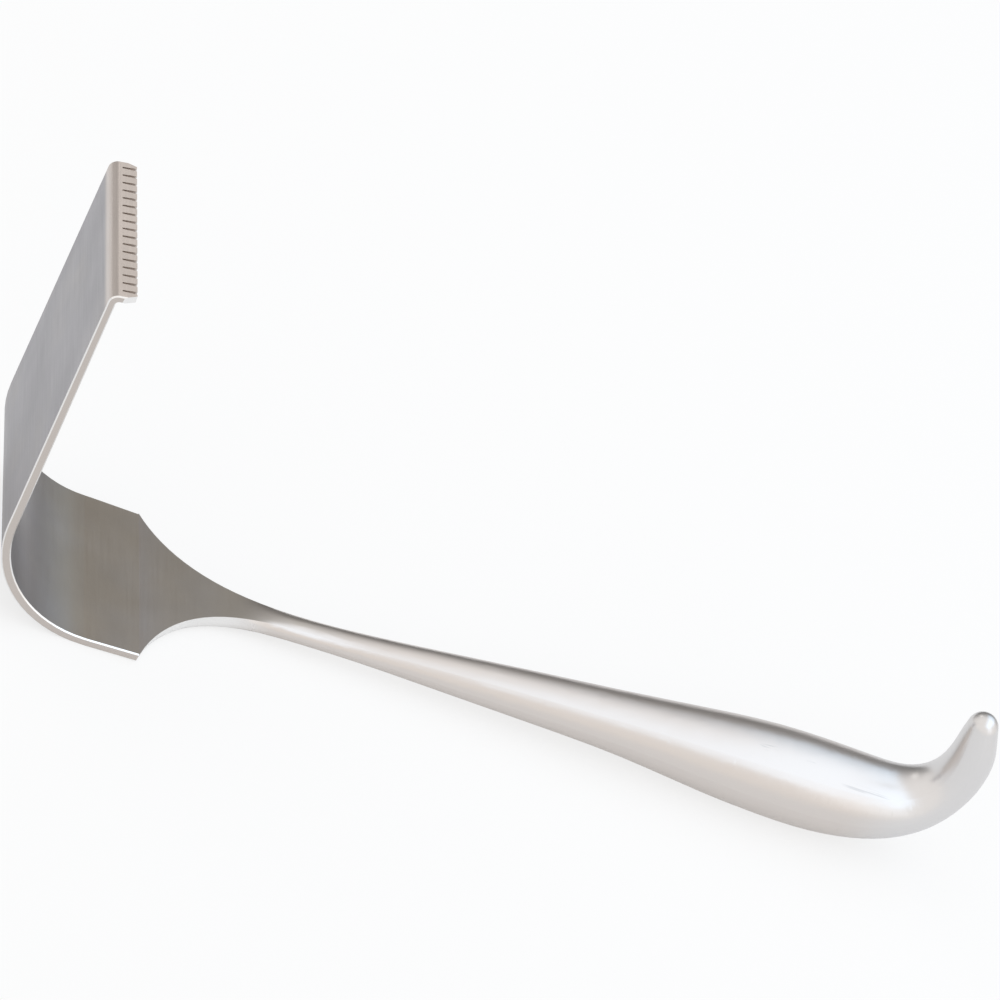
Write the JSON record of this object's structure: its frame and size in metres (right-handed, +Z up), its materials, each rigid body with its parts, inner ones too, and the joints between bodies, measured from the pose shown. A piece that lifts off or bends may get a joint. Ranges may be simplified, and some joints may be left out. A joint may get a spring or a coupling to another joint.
{
  "type": "handheld surgical retractor",
  "caption": "Handheld retractor with a broad right-angled blade, a toothed lip, a slim neck and a swelling grip that ends in a finger hook.",
  "frame": {"origin": "middle of the overall box at the height it rests on", "axes": "+X from the blade along the handle to the hook, +Y across the blade, +Z up as it rests on its bend and the belly of its grip"},
  "size_m": [0.2648, 0.05, 0.0981],
  "materials": {
    "satin_steel": "satin, finely brushed, with bright broken edges"
  },
  "bodies": {
    "root": {"retractor": "satin_steel"}
  },
  "joints": []
}
